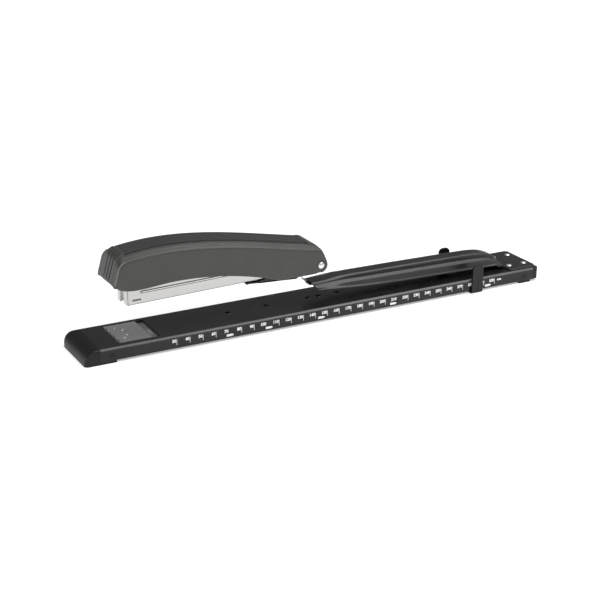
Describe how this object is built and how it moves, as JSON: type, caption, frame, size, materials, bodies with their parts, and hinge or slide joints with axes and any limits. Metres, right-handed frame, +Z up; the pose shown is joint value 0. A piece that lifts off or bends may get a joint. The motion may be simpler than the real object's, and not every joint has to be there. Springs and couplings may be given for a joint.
{
  "type": "long-arm stapler",
  "caption": "Long-arm desk stapler: channel base with a printed reach scale, sliding anvil and paper stop, and a sprung arm that carries the stapling head.",
  "frame": {"origin": "on the table under the middle of the base, centred between its front and rear ends", "axes": "+X along the base from the head's front to the rear rivets, +Y across it, +Z up"},
  "size_m": [0.38, 0.048, 0.0745],
  "materials": {
    "base_black": "satin",
    "arm_black": "satin",
    "carrier_black": "satin",
    "cap_plastic": "matte",
    "stop_plastic": "matte",
    "pad_felt": "matte",
    "anvil_chrome": "polished",
    "rivet_steel": "polished",
    "magazine_chrome": "polished",
    "inner_steel": "satin",
    "staple_wire": "satin",
    "spring_steel": "satin",
    "pusher_plastic": "matte",
    "handle_grey": "matte",
    "grip_rubber": "matte"
  },
  "bodies": {
    "base": {"base_channel": "base_black", "front_cap": "cap_plastic", "rear_cap": "cap_plastic", "anvil_tray": "inner_steel", "arm_leaf": "arm_black", "leaf_rivets": "rivet_steel"},
    "anvil": {"anvil_plate": "anvil_chrome"},
    "stop": {"paper_stop": "stop_plastic", "stop_pads": "pad_felt"},
    "arm_body": {"arm": "arm_black", "carrier_root": "carrier_black"},
    "head": {"carrier": "carrier_black", "pivot_rivet": "rivet_steel", "magazine": "magazine_chrome", "nose_plate": "magazine_chrome", "staple_rail": "inner_steel", "staples": "staple_wire", "rod": "inner_steel", "pusher_spring": "spring_steel", "return_spring": "spring_steel"},
    "pusher_body": {"pusher": "pusher_plastic"},
    "handle": {"handle_shell": "handle_grey", "handle_grip": "grip_rubber", "handle_frame": "inner_steel", "driver": "inner_steel"}
  },
  "joints": [
    {"name": "arm_flex", "type": "hinge", "parent": "base", "child": "arm_body", "pos_m": [0.15615, 0, 0.0195], "axis": [0, -1, 0], "range_deg": [0, 3], "stiffness_Nm_per_rad": 60, "springref_deg": -1.15},
    {"name": "carrier_flex", "type": "hinge", "parent": "arm_body", "child": "head", "pos_m": [-0.0095, 0, 0.0248], "axis": [0, -1, 0], "range_deg": [0, 2.2], "stiffness_Nm_per_rad": 30, "springref_deg": -0.69},
    {"name": "handle_swing", "type": "hinge", "parent": "head", "child": "handle", "pos_m": [-0.0055, 0, 0.042], "axis": [0, -1, 0], "range_deg": [-60, 3.4], "stiffness_Nm_per_rad": 0.6, "springref_deg": -6.3, "deforming": ["return_spring"]},
    {"name": "pusher_slide", "type": "slide", "parent": "head", "child": "pusher_body", "axis": [0.9997, 0, 0.0244], "range_m": [0, 0.045], "stiffness_N_per_m": 50, "springref_m": -0.04, "deforming": ["pusher_spring"]},
    {"name": "anvil_slide", "type": "slide", "parent": "base", "child": "anvil", "axis": [1, 0, 0], "range_m": [0, 0.004]},
    {"name": "stop_slide", "type": "slide", "parent": "base", "child": "stop", "axis": [1, 0, 0], "range_m": [-0.252, 0.02]}
  ]
}
